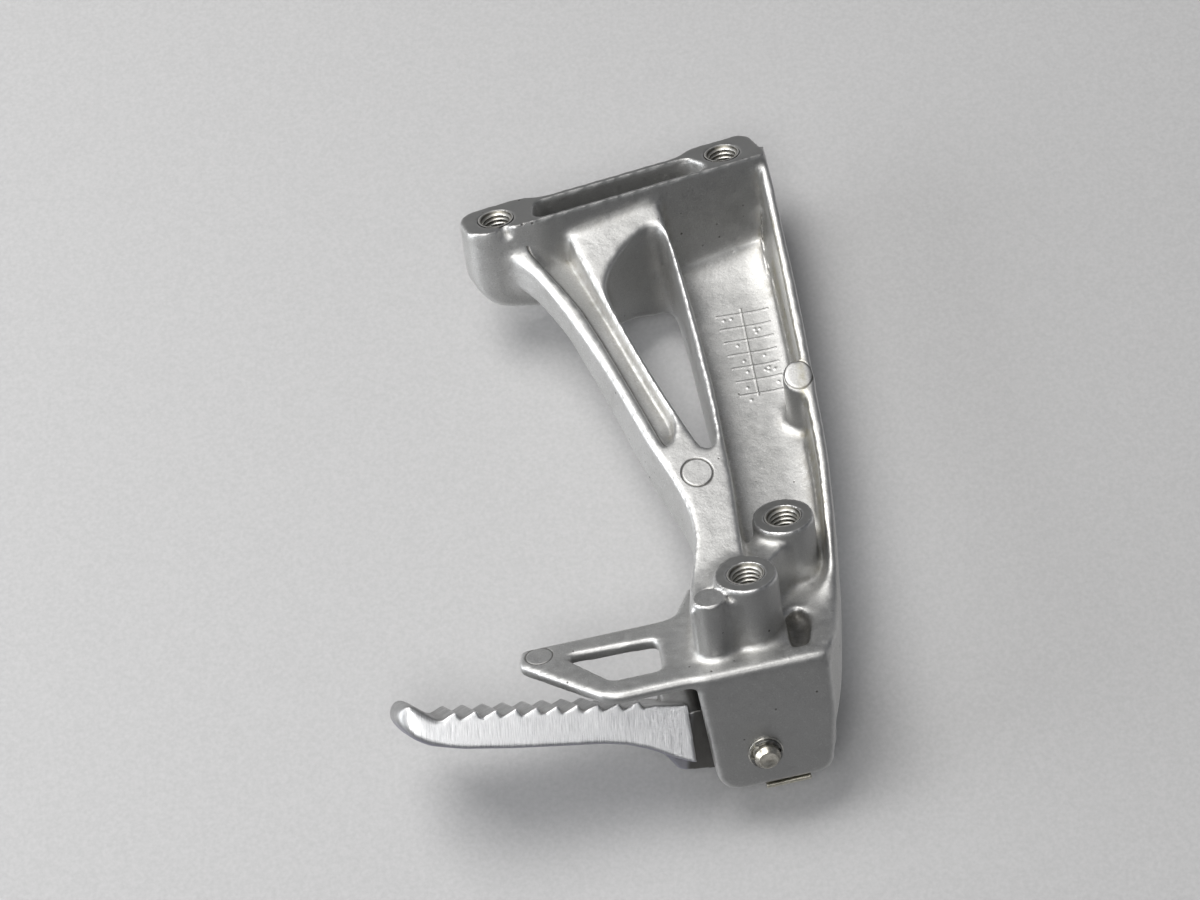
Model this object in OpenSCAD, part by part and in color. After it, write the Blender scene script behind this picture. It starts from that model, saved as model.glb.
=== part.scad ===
// Passenger foot peg on its hanger bracket.
// The design is drawn in bracket coordinates: x along the clevis, y along the
// pivot pin from the clip end to the head end, z along the threaded bosses,
// with zero at the mouth of the threaded hole in the boss next to the pivot.
// The finished assembly is then tipped by rest_tilt, so that it lies on its
// outboard side the way it does on a bench.

/* [Frame] */
// Tilt of the boss axes from vertical when the part lies on its outboard side
rest_tilt = 32; // [30:0.5:34]

/* [Mounting flange] */
// Height of the flange face above the pivot boss faces
flange_z = 50; // [46:1:54]
// Distance between the two flange holes
flange_pitch = 64; // [60:0.5:68]
// Turn of the flange bar about the boss axes
flange_turn = 9.9; // [8:0.1:12]
// Depth of the bar behind the flange face
flange_depth = 27; // [25:0.5:28]

/* [Threads] */
// Radius of the tapped holes' wall (M8, tapping size)
tap_r = 3.4; // [3.2:0.05:3.6]
// Depth of the tapped holes
tap_depth = 15; // [10:1:16]
// Radius of the countersink at the mouth of a tapped hole
csk_r = 4.3; // [4.1:0.1:4.8]
// depth of that countersink
csk_z = 0.45; // [0.3:0.05:0.5]

/* [Bosses] */
// Outer diameter of the two tall bosses
boss_d = 15.6; // [14:0.2:17]
// Height of the bosses above the clevis top
boss_h = 17; // [15:0.5:18]

/* [Clevis] */
// Depth of the clevis below its top face
clevis_h = 35.5; // [34:0.5:37]
// Thickness of each ear
ear_t = 6; // [5:0.5:6.5]
// Distance between the ears
ear_gap = 16; // [15:0.5:17]
// Thickness of the clevis top and of the tab
top_t = 3.4; // [3:0.2:4]

/* [Pivot] */
// Diameter of the pivot pin
pin_d = 6.5; // [6:0.1:7]
// Radial play of the pin in its bores
pin_play = 0.05; // [0.03:0.01:0.1]
// How far the pin's clip end stands out of the ear
pin_out = 3.8; // [3:0.2:5]

/* [Foot peg] */
// Angle of the folded peg above the clevis plane
fold_up = 10.7; // [9:0.1:12]
// Twist of the peg's section, which levels the tread when it is out
twist = 31; // [28:1:32]
// Width of the tread
peg_w = 24; // [20:0.5:26]
// Reach of the peg from the pivot to its tip
peg_l = 90; // [88:0.5:92]
// Distance from one tread tooth to the next
tooth_pitch = 4.97; // [4.9:0.01:5.05]
// Height of the tread teeth
tooth_h = 1.8; // [1:0.1:2.2]

/* [Detent] */
// Thickness of the detent plate
plate_t = 1; // [0.8:0.1:1.2]
// Diameter of the detent ball
ball_d = 4.76; // [4.5:0.02:5]
// Distance from the pivot to the ball
ball_arm = 7; // [6.8:0.1:7.2]

/* [Hidden] */
$fn = 48;
eps = 0.01;

// clevis limits
ear_y0 = -15;                       // outer face of the clip-side ear
gap_y0 = ear_y0 + ear_t;
gap_y1 = gap_y0 + ear_gap;
ear_y1 = gap_y1 + ear_t;            // outer face of the head-side ear
top_z = -boss_h;                    // top face of the clevis and tab
low_z = top_z - clevis_h;           // bottom of the ears
pin_x = -3;
pin_z = -42.5;
pin_r = pin_d / 2;
bore_r = pin_r + pin_play;
mid_y = gap_y0 + ear_gap / 2;

// arm surfaces: rise per millimetre along y
panel_k = 0.40;                     // raised panel and left rim
rim_k = 0.53;                       // right rim
hole_a = [-37, 110.4];              // left flange hole

// ---- helpers ------------------------------------------------------------
function unit(a) = a / norm(a);
// polygon corners [x, y, radius] turned into points with arcs
function rounded(c, n = 6) = [
    for (i = [0 : len(c) - 1])
        let (p = [c[i][0], c[i][1]], r = c[i][2],
             a = [c[(i + len(c) - 1) % len(c)][0], c[(i + len(c) - 1) % len(c)][1]],
             b = [c[(i + 1) % len(c)][0], c[(i + 1) % len(c)][1]],
             ua = unit(a - p), ub = unit(b - p),
             h = acos(max(-1, min(1, ua * ub))) / 2,
             t = r / tan(h), m = unit(ua + ub), o = p + m * (r / sin(h)),
             s = p + ua * t, e = p + ub * t,
             a0 = atan2(s[1] - o[1], s[0] - o[0]),
             d0 = atan2(e[1] - o[1], e[0] - o[0]) - a0,
             d = d0 > 180 ? d0 - 360 : (d0 < -180 ? d0 + 360 : d0))
        for (k = [0 : (r > 0 ? n : 0)])
            r > 0 ? o + r * [cos(a0 + d * k / n), sin(a0 + d * k / n)] : p];
// smooth curve through hand-set points
function cr(p0, p1, p2, p3, t) =
    0.5 * (2 * p1 + (p2 - p0) * t + (2 * p0 - 5 * p1 + 4 * p2 - p3) * t * t
    + (3 * p1 - p0 - 3 * p2 + p3) * t * t * t);
function curve(p, n = 4) = concat([
    for (i = [0 : len(p) - 2]) for (k = [0 : n - 1])
        cr(p[max(i - 1, 0)], p[i], p[i + 1], p[min(i + 2, len(p) - 1)], k / n)],
    [p[len(p) - 1]]);
// a y-z profile drawn out along x
module side(pts, x0, x1) {
    translate([x0, 0, 0]) rotate([90, 0, 90]) linear_extrude(x1 - x0) polygon(pts);
}
// an x-z outline drawn out along y
module face(pts, y0, y1) {
    translate([0, y1, 0]) rotate([90, 0, 0]) linear_extrude(y1 - y0) polygon(pts);
}
module place() { rotate([-rest_tilt, 0, 0]) children(); }
// the bar's own coordinates, x from hole to hole
module on_flange() {
    translate([hole_a[0], hole_a[1], flange_z]) rotate([0, 0, flange_turn]) children();
}
// the peg's coordinates when folded: x to the tip, y to the clip end
module on_peg() {
    translate([pin_x, mid_y, pin_z]) rotate([0, fold_up, 0]) rotate([0, 0, 180]) children();
}

// ---- outlines, seen along the bosses ---------------------------------------
left_edge = curve([[-41, 112], [-39, 107.6], [-35.6, 103.3], [-31, 98], [-26.4, 88.4], [-22.4, 77.3],
    [-19, 66.3], [-16, 54.2], [-13.7, 44.6], [-10.8, 35], [-8.8, 25.2], [-9, 17], [-10.7, 11],
    [-13.5, 3], [-15.2, -3], [-15.4, -7]]);
rib_edge = curve([[5.9, 114], [6.3, 102], [6.9, 94], [7.1, 81], [6.8, 66], [6.1, 52], [5, 40],
    [4.2, 30], [3.2, 22], [2.3, 15], [1.6, 9]]);
rim_out = curve([[37.4, 121], [37, 109], [36.3, 99], [35.4, 85], [34.3, 73], [33.1, 62], [32.2, 53],
    [30.8, 41.5], [28.3, 28], [26, 17], [22.9, 5], [19.2, -7], [16, -13]]);
rim_in = curve([[34.6, 114], [33.9, 104], [32.9, 91], [31.8, 79], [30.9, 68], [29.4, 57],
    [27.9, 42], [25.7, 29.5], [24, 21.5], [22.2, 13]]);
groove_edge = curve([[-34.6, 113], [-31.6, 107], [-28.2, 99.6], [-24.6, 92.7], [-21.2, 85.4], [-18.2, 75.6],
    [-15.5, 65.2], [-12.9, 54.6], [-11, 46.6], [-9.8, 42.2]]);
panel_edge = curve([[-21, 113], [-20, 108], [-18, 99], [-15.8, 89], [-13.2, 78.2], [-10.6, 67.5], [-8.2, 58],
    [-6, 49.5], [-7.4, 44]]);
slot_out = concat(curve([[1.7, 104.2], [4.4, 103], [5.3, 99.8], [5.4, 94], [5.1, 82], [4.6, 67], [4, 52.5],
    [3.4, 44.2], [2.4, 40.8], [0.7, 39.6], [-1, 40.8], [-2.2, 43.8], [-4.2, 50.6], [-6.7, 59.3],
    [-9.2, 68.8], [-11.6, 79], [-13, 86], [-13, 90.2], [-11.2, 94.2], [-7.4, 98.3], [-3.2, 101.8],
    [1.7, 104.2]], 3));

function rev(p) = [for (i = [len(p) - 1 : -1 : 0]) p[i]];

// ---- arm -------------------------------------------------------------------
// height of the panel, rib and left rim along y, and of the right rim
panel_top = curve([[-30, -2.6], [-4, -2.6], [1, -2.3], [5, -1.4], [9, -0.1], [24, 6.1], [40, 12.7], [60, 21.3],
    [84, 32.4], [108, 44.7], [135, 58.7]]);
rim_top = curve([[-30, top_z], [-6, top_z], [2, top_z + 0.5], [8, top_z + 2.4], [30, -2.7], [62, 14.3],
    [88, 29.5], [114, 46.1], [135, 59.7]]);
// height of the outboard skin along y at the left wall, and its fall towards the right
skin = [[-40, -30], [8, -20], [20, -8], [29, -3], [45, 1.2], [58, 6.3], [71, 12.4], [86, 20],
    [97, 22.8], [108, 24.5], [135, 27]];
skin_fall = 27;
// top of the channel floor
floor_top = curve([[-40, -17.2], [8, -16.6], [20, -13.6], [32, -10.2], [62, 1], [88, 11.8], [104, 19], [112, 23.2],
    [135, 34]]);
floor_t = 4;
module below_profile(p, lift = 0) {
    side(concat([[-30, -90]], [for (q = p) if (q[0] >= -30) q + [0, lift]], [[135, -90]]), -70, 60);
}
module under() {
    translate([-17, 0, 0]) rotate([0, skin_fall, 0]) translate([17, 0, 0])
        side(concat([[-40, -160]], [for (q = skin) [q[0], q[1] * cos(skin_fall)]], [[135, -160]]), -120, 120);
    side(concat([[-40, -160]], [for (q = floor_top) q - [0, floor_t]], [[135, -160]]), -120, 120);
}
// wedge above a floor that starts at a point of the rim's inner edge and deepens to the right
module wedge(from, to) {
    h0 = lookup(from[1], panel_top);
    h1 = lookup(to[1], panel_top);
    l = norm(to - from);
    translate([from[0], from[1], h0]) rotate([0, 0, atan2(from[0] - to[0], to[1] - from[1])])
        rotate([atan2(h1 - h0, l), 0, 0]) rotate([0, 24, 0])
            translate([-20, -6, -1]) cube([60, norm([l, h1 - h0]) + 18, 40]);
}
module arm() {
    difference() {
        union() {
            // box section with the left rim, the raised panel and the rib
            intersection() {
                translate([0, 0, -40]) linear_extrude(140) polygon(concat(left_edge,
                    [[-11, -8.5], [-3, -6.5], [3, -4], [6, 2]], rev(rib_edge)));
                below_profile(panel_top);
            }
            // right rim
            intersection() {
                translate([0, 0, low_z + 6]) linear_extrude(140) polygon(concat(rim_out,
                    [[12, -13], [14, -2], [18, 8]], rev(rim_in)));
                below_profile(rim_top);
            }
            // floor of the right channel
            intersection() {
                translate([0, 0, low_z + 6]) linear_extrude(140) polygon(concat([for (p = rim_out) p + [-1, 0]],
                    [[0, -13]], rev([for (p = rib_edge) p + [-2, 0]])));
                below_profile(floor_top);
            }
        }
        difference() {
            under();
            translate([-60, -40, -60]) cube([120, 40 + ear_y1, 60 + top_z - top_t + 1]);
        }
        // outer wall leans in towards the clevis foot
        face([[27, top_z - 1], [15.8, low_z + 13], [13.6, low_z - 20], [60, low_z - 20], [60, top_z - 1]], -40, 30);
        // left pocket between the rim and the panel, deeper towards the panel
        intersection() {
            translate([0, 0, -40]) linear_extrude(140) polygon(concat(groove_edge, rev(panel_edge)));
            union() {
                intersection() {
                    wedge([-9.8, 42.2], [-21.2, 85.4]);
                    translate([-70, 0, -50]) cube([140, 85.4, 140]);
                }
                intersection() {
                    wedge([-21.2, 85.4], [-31.6, 107]);
                    translate([-70, 85.4, -50]) cube([140, 60, 140]);
                }
            }
        }
    }
}

// ---- flange ------------------------------------------------------------------
module flange() {
    on_flange() {
        // left end, with a rolled outboard corner
        intersection() {
            translate([0, 0, -30]) linear_extrude(30) polygon(rounded([[-9.6, -7, 6.5], [26, -7, 0],
                [26, 5, 0], [15, 5, 3], [9, 7.6, 5], [-9.6, 7.6, 6.5]]));
            translate([0, 15, 0]) rotate([90, 0, 0]) linear_extrude(30)
                polygon(rounded([[-9, 0, 0], [26, 0, 0], [26, -27, 0], [9, -26, 11], [-9.6, -20.5, 10]]));
        }
        // middle and right end
        translate([0, 0, -flange_depth]) linear_extrude(flange_depth) polygon(rounded([[16, -7, 0],
            [74.2, -7, 1.5], [74.2, 7.6, 4], [58, 7.6, 5], [52, 5, 3], [16, 5, 0]]));
    }
    // heel behind the head of the slot, on which the part lies
    intersection() {
        side(rounded([[98, 40, 0], [98, 22, 0], [110, 15.6, 6], [118.6, 13.5, 0.8], [120, 16, 1], [120, 40, 0]]), -23, 12);
        on_flange() translate([0, -6.8, -60]) cube([100, 30, 50]);
    }
}

// ---- clevis --------------------------------------------------------------------
ear_out = rounded([[-17.4, top_z, 0], [-15.4, low_z + 6, 3], [-15, low_z, 5.5], [13.6, low_z, 4],
    [15.8, low_z + 18, 8], [15.7, top_z, 0]]);
module clevis() {
    face(ear_out, ear_y0, gap_y0);
    face(ear_out, gap_y1, ear_y1);
    // back wall and top
    intersection() {
        face(ear_out, ear_y0, ear_y1);
        union() {
            translate([11, ear_y0, low_z + 1.5]) cube([10, ear_y1 - ear_y0, clevis_h]);
            translate([-30, ear_y0, top_z - top_t]) cube([60, ear_y1 - ear_y0, top_t]);
        }
    }
}
module tab() {
    translate([0, 0, top_z - top_t]) linear_extrude(top_t) difference() {
        polygon(rounded([[-12, ear_y0 + 0.6, 0], [-38.5, ear_y0 + 0.6, 4], [-57.6, 6.5, 1.4],
            [-56.2, 12.4, 1.6], [-17.5, 12.8, 4], [-11.5, 24, 0], [-6, 20, 0]]));
        polygon(rounded([[-46.5, 6.6, 1.2], [-23.2, 5.4, 1.6], [-24.2, -7.4, 2.2], [-36.6, -7.4, 3]]));
    }
}

// ---- bosses ---------------------------------------------------------------------
boss_1 = [14.1, 20.9];
pad = [-10.4, -5.2];
module bosses() {
    for (b = [boss_1, [0, 0]])
        translate([b[0], b[1], top_z - 3]) cylinder(d = boss_d, h = boss_h + 3);
    translate([pad[0], pad[1], top_z - 1]) cylinder(d = 8.4, h = boss_h);
    // web that ties the two bosses to the rib
    translate([0, 0, top_z - 3]) linear_extrude(boss_h) polygon([[0, 3], [2, 16], [8, 22],
        [14, 14], [7.8, 8.2], [4, 2]]);
}

module tapped(depth = tap_depth) {
    translate([0, 0, -depth]) cylinder(r = tap_r, h = depth + 1);
    translate([0, 0, -csk_z]) cylinder(r1 = tap_r, r2 = tap_r + (csk_r - tap_r) * (csk_z + 1) / csk_z, h = csk_z + 1);
}

module hanger_bracket() color([0.70, 0.70, 0.69]) place() difference() {
    union() {
        arm();
        flange();
        clevis();
        tab();
        bosses();
        // skin that closes the clevis top behind the bosses
        translate([0, 0, top_z - top_t]) linear_extrude(top_t) polygon(rounded([[-15.6, -15, 0],
            [15.7, -15, 3], [25.4, 14, 8], [20, 22, 0], [-9, 20, 0], [-16, -3, 0]]));
        // ejector pad on the right rim, with its half-round column
        intersection() {
            translate([29.2, 61.6, -10]) cylinder(d = 8.4, h = 60);
            below_profile(rim_top);
        }
    }
    // ejector column ends at the skin
    intersection() {
        translate([29.2, 61.6, -30]) cylinder(d = 12, h = 60);
        under();
    }
    // slot through the arm
    translate([0, 0, -60]) linear_extrude(150) polygon(slot_out);
    // hollow of the clevis
    translate([-40, gap_y0, low_z - 20]) cube([51, ear_gap, clevis_h - top_t + 20]);
    // pivot bores
    translate([pin_x, ear_y0 - 2, pin_z]) rotate([-90, 0, 0]) cylinder(r = bore_r, h = ear_y1 - ear_y0 + 4);
    // tapped holes
    tapped();
    translate([boss_1[0], boss_1[1], 0]) tapped();
    on_flange() tapped(17);
    on_flange() translate([flange_pitch, 0, 0]) tapped(17);
    // core pocket in the flange
    on_flange() translate([0, 0, -14]) linear_extrude(20) polygon(rounded([[8.5, -5.6, 2],
        [59, -5.6, 2.4], [55, 3, 3], [12, 3, 3]]));
    // nick beside the left flange hole
    on_flange() translate([0, 0, -3]) linear_extrude(6) polygon([[-2, -8], [2.6, -8], [1.2, -4.9], [-0.4, -4.9]]);
    // core pocket beside the pivot boss
    translate([0, 0, top_z - 2.6]) linear_extrude(10) polygon(rounded([[7.5, -9.8, 1], [11.6, -9.8, 1.5],
        [14.6, 1, 2], [12.2, 6.2, 1.5], [8.6, 2.6, 0.8]]));
}

// ---- foot peg -----------------------------------------------------------------------
tooth_0 = 29.7;                     // first valley from the root
teeth_n = 10;
peg_top = concat([[18.7, 5.4], [27.5, 5.7]],
    [for (i = [0 : teeth_n - 1]) for (p = [[0, 0], [0.9, tooth_h * 0.95], [1.5, tooth_h], [4.3, 0.25]])
        [tooth_0 + i * tooth_pitch + p[0], 5.2 + p[1]]],
    [[tooth_0 + teeth_n * tooth_pitch, 5.2], [81.5, 6.4], [84.6, 8.4], [86.8, 9.5], [88.2, 9.2]]);
peg_low = [[90, 7.4], [90, 5.6], [88.4, 3.4], [86, 1], [82, -0.9], [74, -2], [62, -2.6], [50, -2.8],
    [40, -2.9], [34, -3.5], [28, -5.1], [22.6, -7.3], [17.1, -8.9]];
module foot_peg() color([0.82, 0.83, 0.84]) place() on_peg() difference() {
    union() {
        // serrated bar, turned about its own length
        rotate([twist, 0, 0]) intersection() {
            translate([0, peg_w / 2, 0]) rotate([90, 0, 0]) linear_extrude(peg_w)
                polygon(concat(peg_top, peg_low));
            translate([0, 0, -30]) linear_extrude(60) polygon(rounded([[10, -peg_w / 2, 0],
                [peg_l, -peg_w / 2, 9], [peg_l, peg_w / 2, 4], [10, peg_w / 2, 0]]));
        }
        // lug between the ears
        translate([0, mid_y - gap_y0 - plate_t - 0.35, 0]) rotate([90, 0, 0])
            linear_extrude(ear_gap - plate_t - 0.7) polygon(rounded([[-9.2, -9.2, 8.8], [19, -9.6, 3],
                [23, -5, 0], [23, 6, 0], [16, 8.2, 3], [-9.2, 9.2, 8.8]], 10));
    }
    translate([0, 30, 0]) rotate([90, 0, 0]) cylinder(r = bore_r + 0.02, h = 60);
    // blind bore for the ball and its spring
    translate([ball_arm, mid_y - gap_y0 - plate_t + 1, 0]) rotate([90, 0, 0])
        cylinder(d = ball_d + 0.24, h = 12.4);
}

// ---- pin and clip -----------------------------------------------------------------------
clip_y = ear_y0 - 1.4;
module pivot_pin() color([0.62, 0.60, 0.55]) place() translate([pin_x, 0, pin_z]) rotate([-90, 0, 0])
    rotate_extrude() polygon([[0, ear_y0 - pin_out], [pin_r - 0.8, ear_y0 - pin_out],
        [pin_r, ear_y0 - pin_out + 1.1], [pin_r, clip_y - 0.05], [pin_r - 0.6, clip_y - 0.05],
        [pin_r - 0.6, clip_y + 0.85], [pin_r, clip_y + 0.85], [pin_r, ear_y1 + 0.02],
        [5.4, ear_y1 + 0.02], [5.4, ear_y1 + 1.2], [4.2, ear_y1 + 2.3], [0, ear_y1 + 2.6]]);
module pin_washer() color([0.72, 0.71, 0.66]) place() translate([pin_x, ear_y0 - 0.54, pin_z])
    rotate([-90, 0, 0]) difference() {
        cylinder(r = 4.4, h = 0.5);
        translate([0, 0, -1]) cylinder(r = bore_r + 0.05, h = 3);
    }
module pin_clip() color([0.35, 0.34, 0.33]) place() translate([pin_x, clip_y, pin_z]) rotate([-90, 0, 0])
    linear_extrude(0.8) difference() {
        circle(r = 4.1);
        circle(r = pin_r - 0.58);
        // mouth of the clip
        rotate(205) translate([0, -1.9]) square([8, 3.8]);
        for (a = [90, -35]) rotate(a + 25) translate([pin_r - 0.2, 0]) circle(r = 0.7);
    }

// ---- detent -----------------------------------------------------------------------------
plate_y = gap_y0 + 0.05;
ball_y = plate_y + plate_t + 0.06 + ball_d / 2;
module at_arm(a) { translate([pin_x, 0, pin_z]) rotate([0, a, 0]) translate([-ball_arm, 0, 0]) children(); }
module detent_plate() color([0.66, 0.64, 0.58]) place() difference() {
    union() {
        face(rounded([[-14.4, -36, 2], [-14.4, -45, 5], [-3.8, low_z - 1.15, 0], [7.6, low_z - 1.15, 0],
            [9.6, -44, 4], [6, -34, 4]]), plate_y, plate_y + plate_t);
        // lip folded under the ear
        translate([-3.8, ear_y0 - 0.3, low_z - 1.15]) cube([11.4, 7.3, 1]);
    }
    translate([pin_x, plate_y - 1, pin_z]) rotate([-90, 0, 0]) cylinder(r = bore_r + 0.3, h = 4);
    // seats for the ball, folded and out
    for (a = [fold_up, fold_up - 100]) at_arm(a) translate([0, plate_y - 1, 0]) rotate([-90, 0, 0]) cylinder(r = 1.95, h = 4);
}
module detent_ball() color([0.75, 0.75, 0.77]) place() at_arm(fold_up) translate([0, ball_y, 0]) sphere(d = ball_d);

spring_y0 = ball_y + ball_d / 2 + 0.38;
spring_y1 = gap_y0 + plate_t + 11.2;
wire = 0.5;
coil_r = ball_d / 2 - wire / 2 - 0.1;
turns = 6;
ring = 12;
function coil(i) = let (f = i / (turns * ring), a = 360 * turns * f)
    [coil_r * cos(a), wire / 2 + (spring_y1 - spring_y0 - wire) * f, coil_r * sin(a)];
module detent_spring() color([0.5, 0.5, 0.5]) place() at_arm(fold_up) translate([0, spring_y0, 0]) {
    n = turns * ring;
    pts = [for (i = [0 : n]) let (c = coil(i), o = unit([c[0], 0, c[2]]))
        for (k = [0 : 5]) c + wire / 2 * (cos(60 * k) * o + sin(60 * k) * [0, 1, 0])];
    polyhedron(pts, concat(
        [[for (k = [0 : 5]) k]],
        [for (i = [0 : n - 1]) for (k = [0 : 5])
            [i * 6 + k, (i + 1) * 6 + k, (i + 1) * 6 + (k + 1) % 6, i * 6 + (k + 1) % 6]],
        [[for (k = [5 : -1 : 0]) n * 6 + k]]));
}

hanger_bracket();
foot_peg();
pivot_pin();
pin_washer();
pin_clip();
detent_plate();
detent_ball();
detent_spring();
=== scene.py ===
import bpy
import bmesh
import math
import numpy as np
from mathutils import Matrix, Vector


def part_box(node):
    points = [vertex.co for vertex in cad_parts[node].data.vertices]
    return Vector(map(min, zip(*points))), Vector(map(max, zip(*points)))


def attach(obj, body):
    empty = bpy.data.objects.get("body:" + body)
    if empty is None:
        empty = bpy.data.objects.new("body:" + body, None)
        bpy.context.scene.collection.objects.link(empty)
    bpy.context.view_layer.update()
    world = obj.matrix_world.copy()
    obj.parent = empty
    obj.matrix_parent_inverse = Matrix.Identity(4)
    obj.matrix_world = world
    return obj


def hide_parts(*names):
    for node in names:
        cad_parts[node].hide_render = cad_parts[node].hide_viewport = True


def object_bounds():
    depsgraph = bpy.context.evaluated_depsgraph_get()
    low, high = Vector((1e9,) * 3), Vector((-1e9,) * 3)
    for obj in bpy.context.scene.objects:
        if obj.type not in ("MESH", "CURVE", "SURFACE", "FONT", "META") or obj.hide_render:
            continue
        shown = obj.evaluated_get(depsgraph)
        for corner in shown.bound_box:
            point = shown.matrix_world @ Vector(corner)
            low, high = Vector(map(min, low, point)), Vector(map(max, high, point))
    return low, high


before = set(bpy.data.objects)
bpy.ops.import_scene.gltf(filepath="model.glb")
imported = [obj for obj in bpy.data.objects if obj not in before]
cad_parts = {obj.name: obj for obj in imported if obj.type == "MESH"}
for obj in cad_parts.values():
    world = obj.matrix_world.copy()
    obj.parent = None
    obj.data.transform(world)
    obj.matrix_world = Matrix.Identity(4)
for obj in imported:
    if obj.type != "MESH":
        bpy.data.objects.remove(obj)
cad_lo, cad_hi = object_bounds()
cad_lo, cad_hi = [float(x) for x in cad_lo], [float(x) for x in cad_hi]
scene = bpy.context.scene
MM = 0.001
TILT = math.radians(32)
CT, ST = math.cos(TILT), math.sin(TILT)

# ---------------------------------------------------------------- frames
# bracket coordinates in mm (x along the clevis, y along the pin, z along the
# bosses) to the row frame in metres, and back


def to_world(p):
    p = np.asarray(p, float)
    x, y, z = p[..., 0], p[..., 1], p[..., 2]
    return np.stack([x, y * CT + z * ST, -y * ST + z * CT], -1) * MM


def to_local(p):
    p = np.asarray(p, float) / MM
    x, y, z = p[..., 0], p[..., 1], p[..., 2]
    return np.stack([x, y * CT - z * ST, y * ST + z * CT], -1)


PIN = np.array([-3.0, -1.0, -42.5])
FOLD = math.radians(10.7)
TWIST = math.radians(31)
CF, SF = math.cos(FOLD), math.sin(FOLD)
CA, SA = math.cos(TWIST), math.sin(TWIST)
P_AX = np.array([-CF, 0, SF])
Q_AX = np.array([SF, 0, CF])
V_AX = np.array([0, 1.0, 0])
R_AX = CA * V_AX - SA * Q_AX
N_AX = CA * Q_AX + SA * V_AX


def peg_coords(local):
    d = local - PIN
    return np.stack([d @ P_AX, d @ R_AX, d @ N_AX], -1)


def flange_coords(local):
    a = math.radians(9.9)
    d = local - np.array([-37, 110.4, 50.0])
    return np.stack([d[..., 0] * math.cos(a) + d[..., 1] * math.sin(a),
                     -d[..., 0] * math.sin(a) + d[..., 1] * math.cos(a), d[..., 2]], -1)


def flange_to_local(p):
    a = math.radians(9.9)
    p = np.asarray(p, float)
    return np.stack([-37 + p[..., 0] * math.cos(a) - p[..., 1] * math.sin(a),
                     110.4 + p[..., 0] * math.sin(a) + p[..., 1] * math.cos(a), 50 + p[..., 2]], -1)


# ---------------------------------------------------------------- mesh tools


def new_object(name, me):
    ob = bpy.data.objects.new(name, me)
    scene.collection.objects.link(ob)
    return ob


def build(name, verts_local, faces, smooth=True):
    me = bpy.data.meshes.new(name)
    me.from_pydata([tuple(v) for v in to_world(verts_local)], [], [tuple(int(i) for i in f) for f in faces])
    me.validate()
    if smooth:
        me.polygons.foreach_set("use_smooth", [True] * len(me.polygons))
    me.update()
    return new_object(name, me)


def cad_copy(node, name):
    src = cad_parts[node]
    me = src.data.copy()
    me.materials.clear()
    ob = new_object(name, me)
    bm = bmesh.new()
    bm.from_mesh(me)
    bmesh.ops.remove_doubles(bm, verts=bm.verts, dist=2e-6)
    bmesh.ops.dissolve_degenerate(bm, edges=bm.edges, dist=1e-7)
    bm.normal_update()
    bm.to_mesh(me)
    bm.free()
    for name_ in [a.name for a in me.attributes if a.name not in ("position", ".edge_verts", ".corner_vert", ".corner_edge")]:
        try:
            me.attributes.remove(me.attributes[name_])
        except Exception:
            pass
    return ob


def baked(ob, name=None):
    """The object's evaluated mesh, in place of its modifiers."""
    dg = bpy.context.evaluated_depsgraph_get()
    me = bpy.data.meshes.new_from_object(ob.evaluated_get(dg))
    old = ob.data
    ob.modifiers.clear()
    ob.data = me
    if name:
        me.name = name
    bpy.data.meshes.remove(old)
    return ob


def cylinder_mesh(bm, a, b, r, seg=48):
    """a closed cylinder between two points given in bracket coordinates"""
    a, b = np.asarray(a, float), np.asarray(b, float)
    d = (b - a) / np.linalg.norm(b - a)
    s = np.cross(d, [1, 0, 0]) if abs(d[0]) < 0.9 else np.cross(d, [0, 1, 0])
    s /= np.linalg.norm(s)
    t = np.cross(d, s)
    ring = [[bm.verts.new(to_world(c + r * (math.cos(k * 2 * math.pi / seg) * s + math.sin(k * 2 * math.pi / seg) * t)))
             for k in range(seg)] for c in (a, b)]
    for k in range(seg):
        bm.faces.new((ring[0][k], ring[0][(k + 1) % seg], ring[1][(k + 1) % seg], ring[1][k]))
    bm.faces.new(list(reversed(ring[0])))
    bm.faces.new(ring[1])


def cut(ob, cylinders):
    me = bpy.data.meshes.new("cutter")
    bm = bmesh.new()
    for c in cylinders:
        cylinder_mesh(bm, *c)
    bmesh.ops.recalc_face_normals(bm, faces=bm.faces)
    bm.to_mesh(me)
    bm.free()
    tool = new_object("cutter", me)
    m = ob.modifiers.new("cut", "BOOLEAN")
    m.operation = "DIFFERENCE"
    m.solver = "EXACT"
    m.object = tool
    baked(ob)
    bpy.data.objects.remove(tool)
    bpy.data.meshes.remove(me)


def voxels(ob, size_mm):
    m = ob.modifiers.new("voxels", "REMESH")
    m.mode = "VOXEL"
    m.voxel_size = size_mm * MM
    m.use_smooth_shade = True
    baked(ob)


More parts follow.
